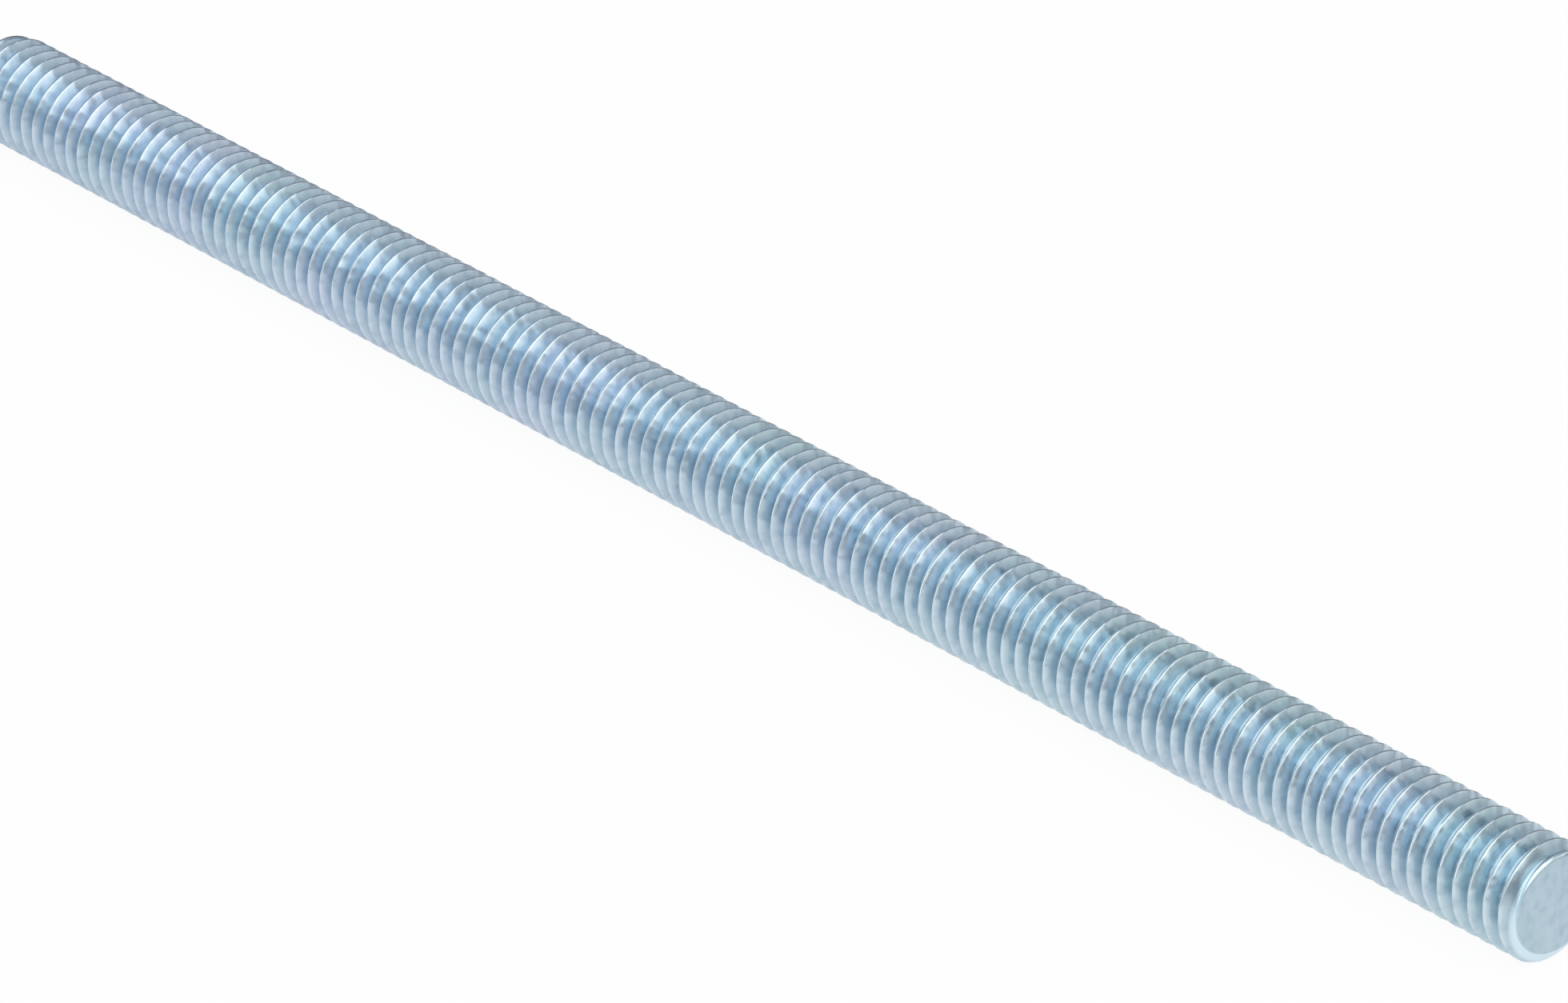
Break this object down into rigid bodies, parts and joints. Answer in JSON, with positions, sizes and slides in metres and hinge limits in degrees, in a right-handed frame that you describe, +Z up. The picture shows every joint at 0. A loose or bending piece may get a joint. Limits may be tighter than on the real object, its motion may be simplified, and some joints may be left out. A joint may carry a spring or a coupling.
{
  "type": "threaded rod",
  "caption": "Straight metal rod threaded along its whole length, right-hand, with a chamfer at each end; takes a nut or a tapped hole from either end.",
  "frame": {"origin": "centre of the first end face, on the thread's axis", "axes": "+X along the rod from its first end face to its second, +Z up; the rod lies level"},
  "size_m": [0.1193, 0.006, 0.006],
  "materials": {
    "zinc_plated_steel": "bright zinc plating with a pale blue tint, on rolled steel"
  },
  "bodies": {
    "root": {"threaded_rod": "zinc_plated_steel"}
  },
  "joints": []
}
